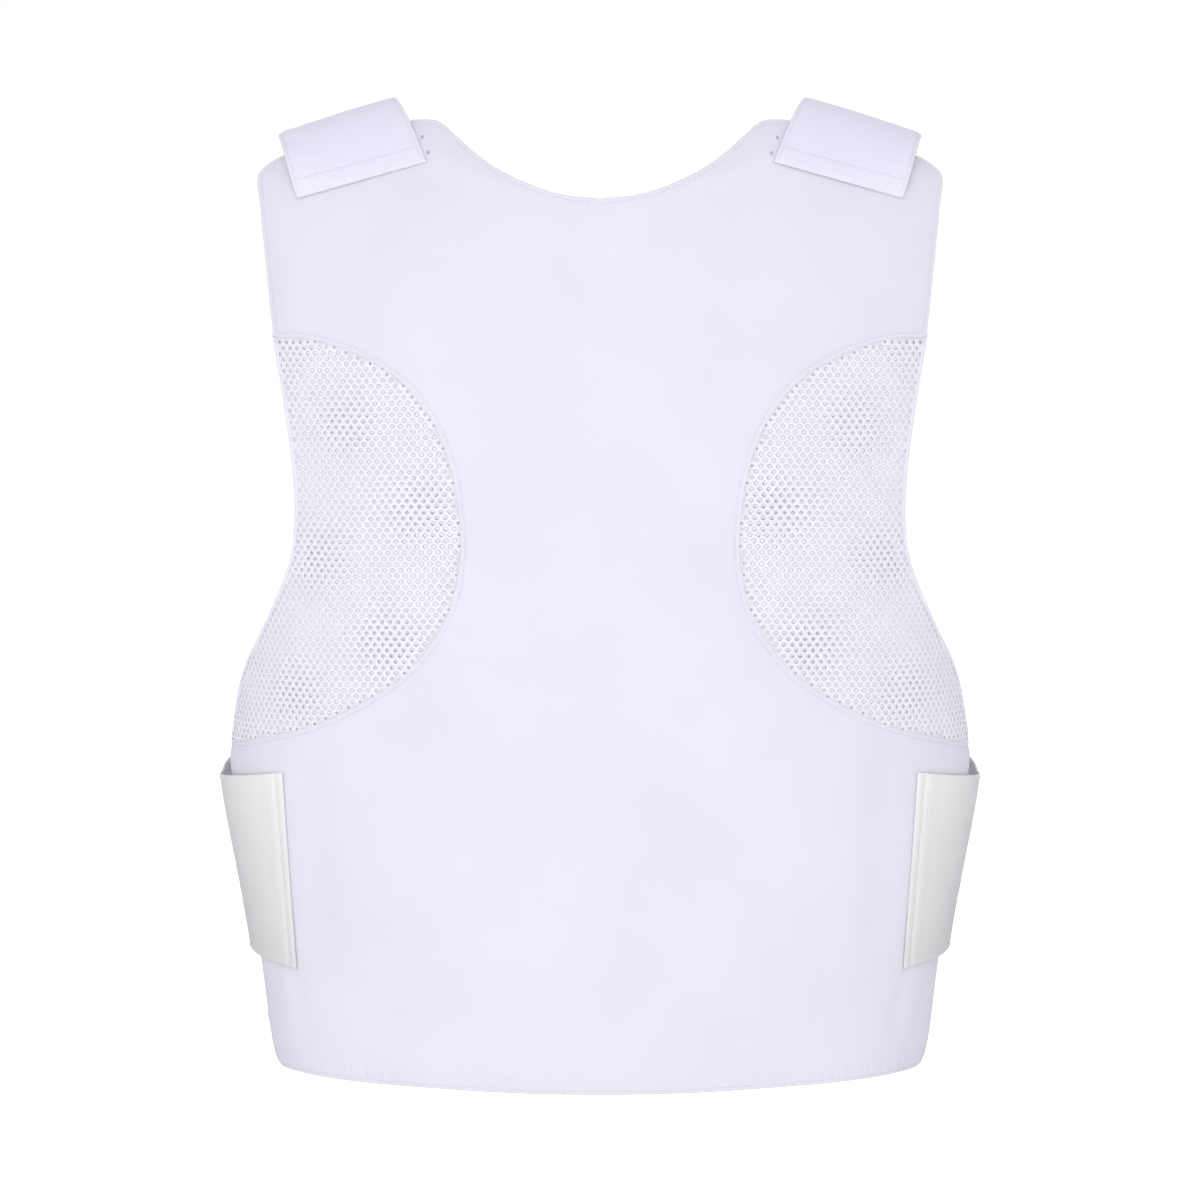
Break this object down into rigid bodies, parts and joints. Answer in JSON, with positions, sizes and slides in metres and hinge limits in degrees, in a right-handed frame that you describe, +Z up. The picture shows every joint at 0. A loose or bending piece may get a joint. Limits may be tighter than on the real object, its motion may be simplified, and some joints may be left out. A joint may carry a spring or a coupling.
{
  "type": "stab vest",
  "caption": "Covert torso vest with padded front and back panels, air-mesh inserts under the arms, cloth shoulder straps and wide side elastics, in its worn form.",
  "frame": {"origin": "midway between the two shoulder straps, at the height where their undersides bear on the shoulders", "axes": "+Z up, the front faces -Y, +X towards the right of a viewer who faces the front"},
  "size_m": [0.4012, 0.212, 0.5115],
  "materials": {
    "vest_fabric": "matt, plain fine weave",
    "air_mesh": "matt, knitted open mesh",
    "side_elastic": "low sheen, ribbed woven elastic"
  },
  "bodies": {
    "root": {"front_panel": "vest_fabric", "back_panel": "vest_fabric", "front_mesh_left": "air_mesh", "front_mesh_right": "air_mesh", "back_mesh_left": "air_mesh", "back_mesh_right": "air_mesh", "shoulder_strap_left": "vest_fabric", "shoulder_strap_right": "vest_fabric", "side_strap_left": "side_elastic", "side_strap_right": "side_elastic"}
  },
  "joints": []
}
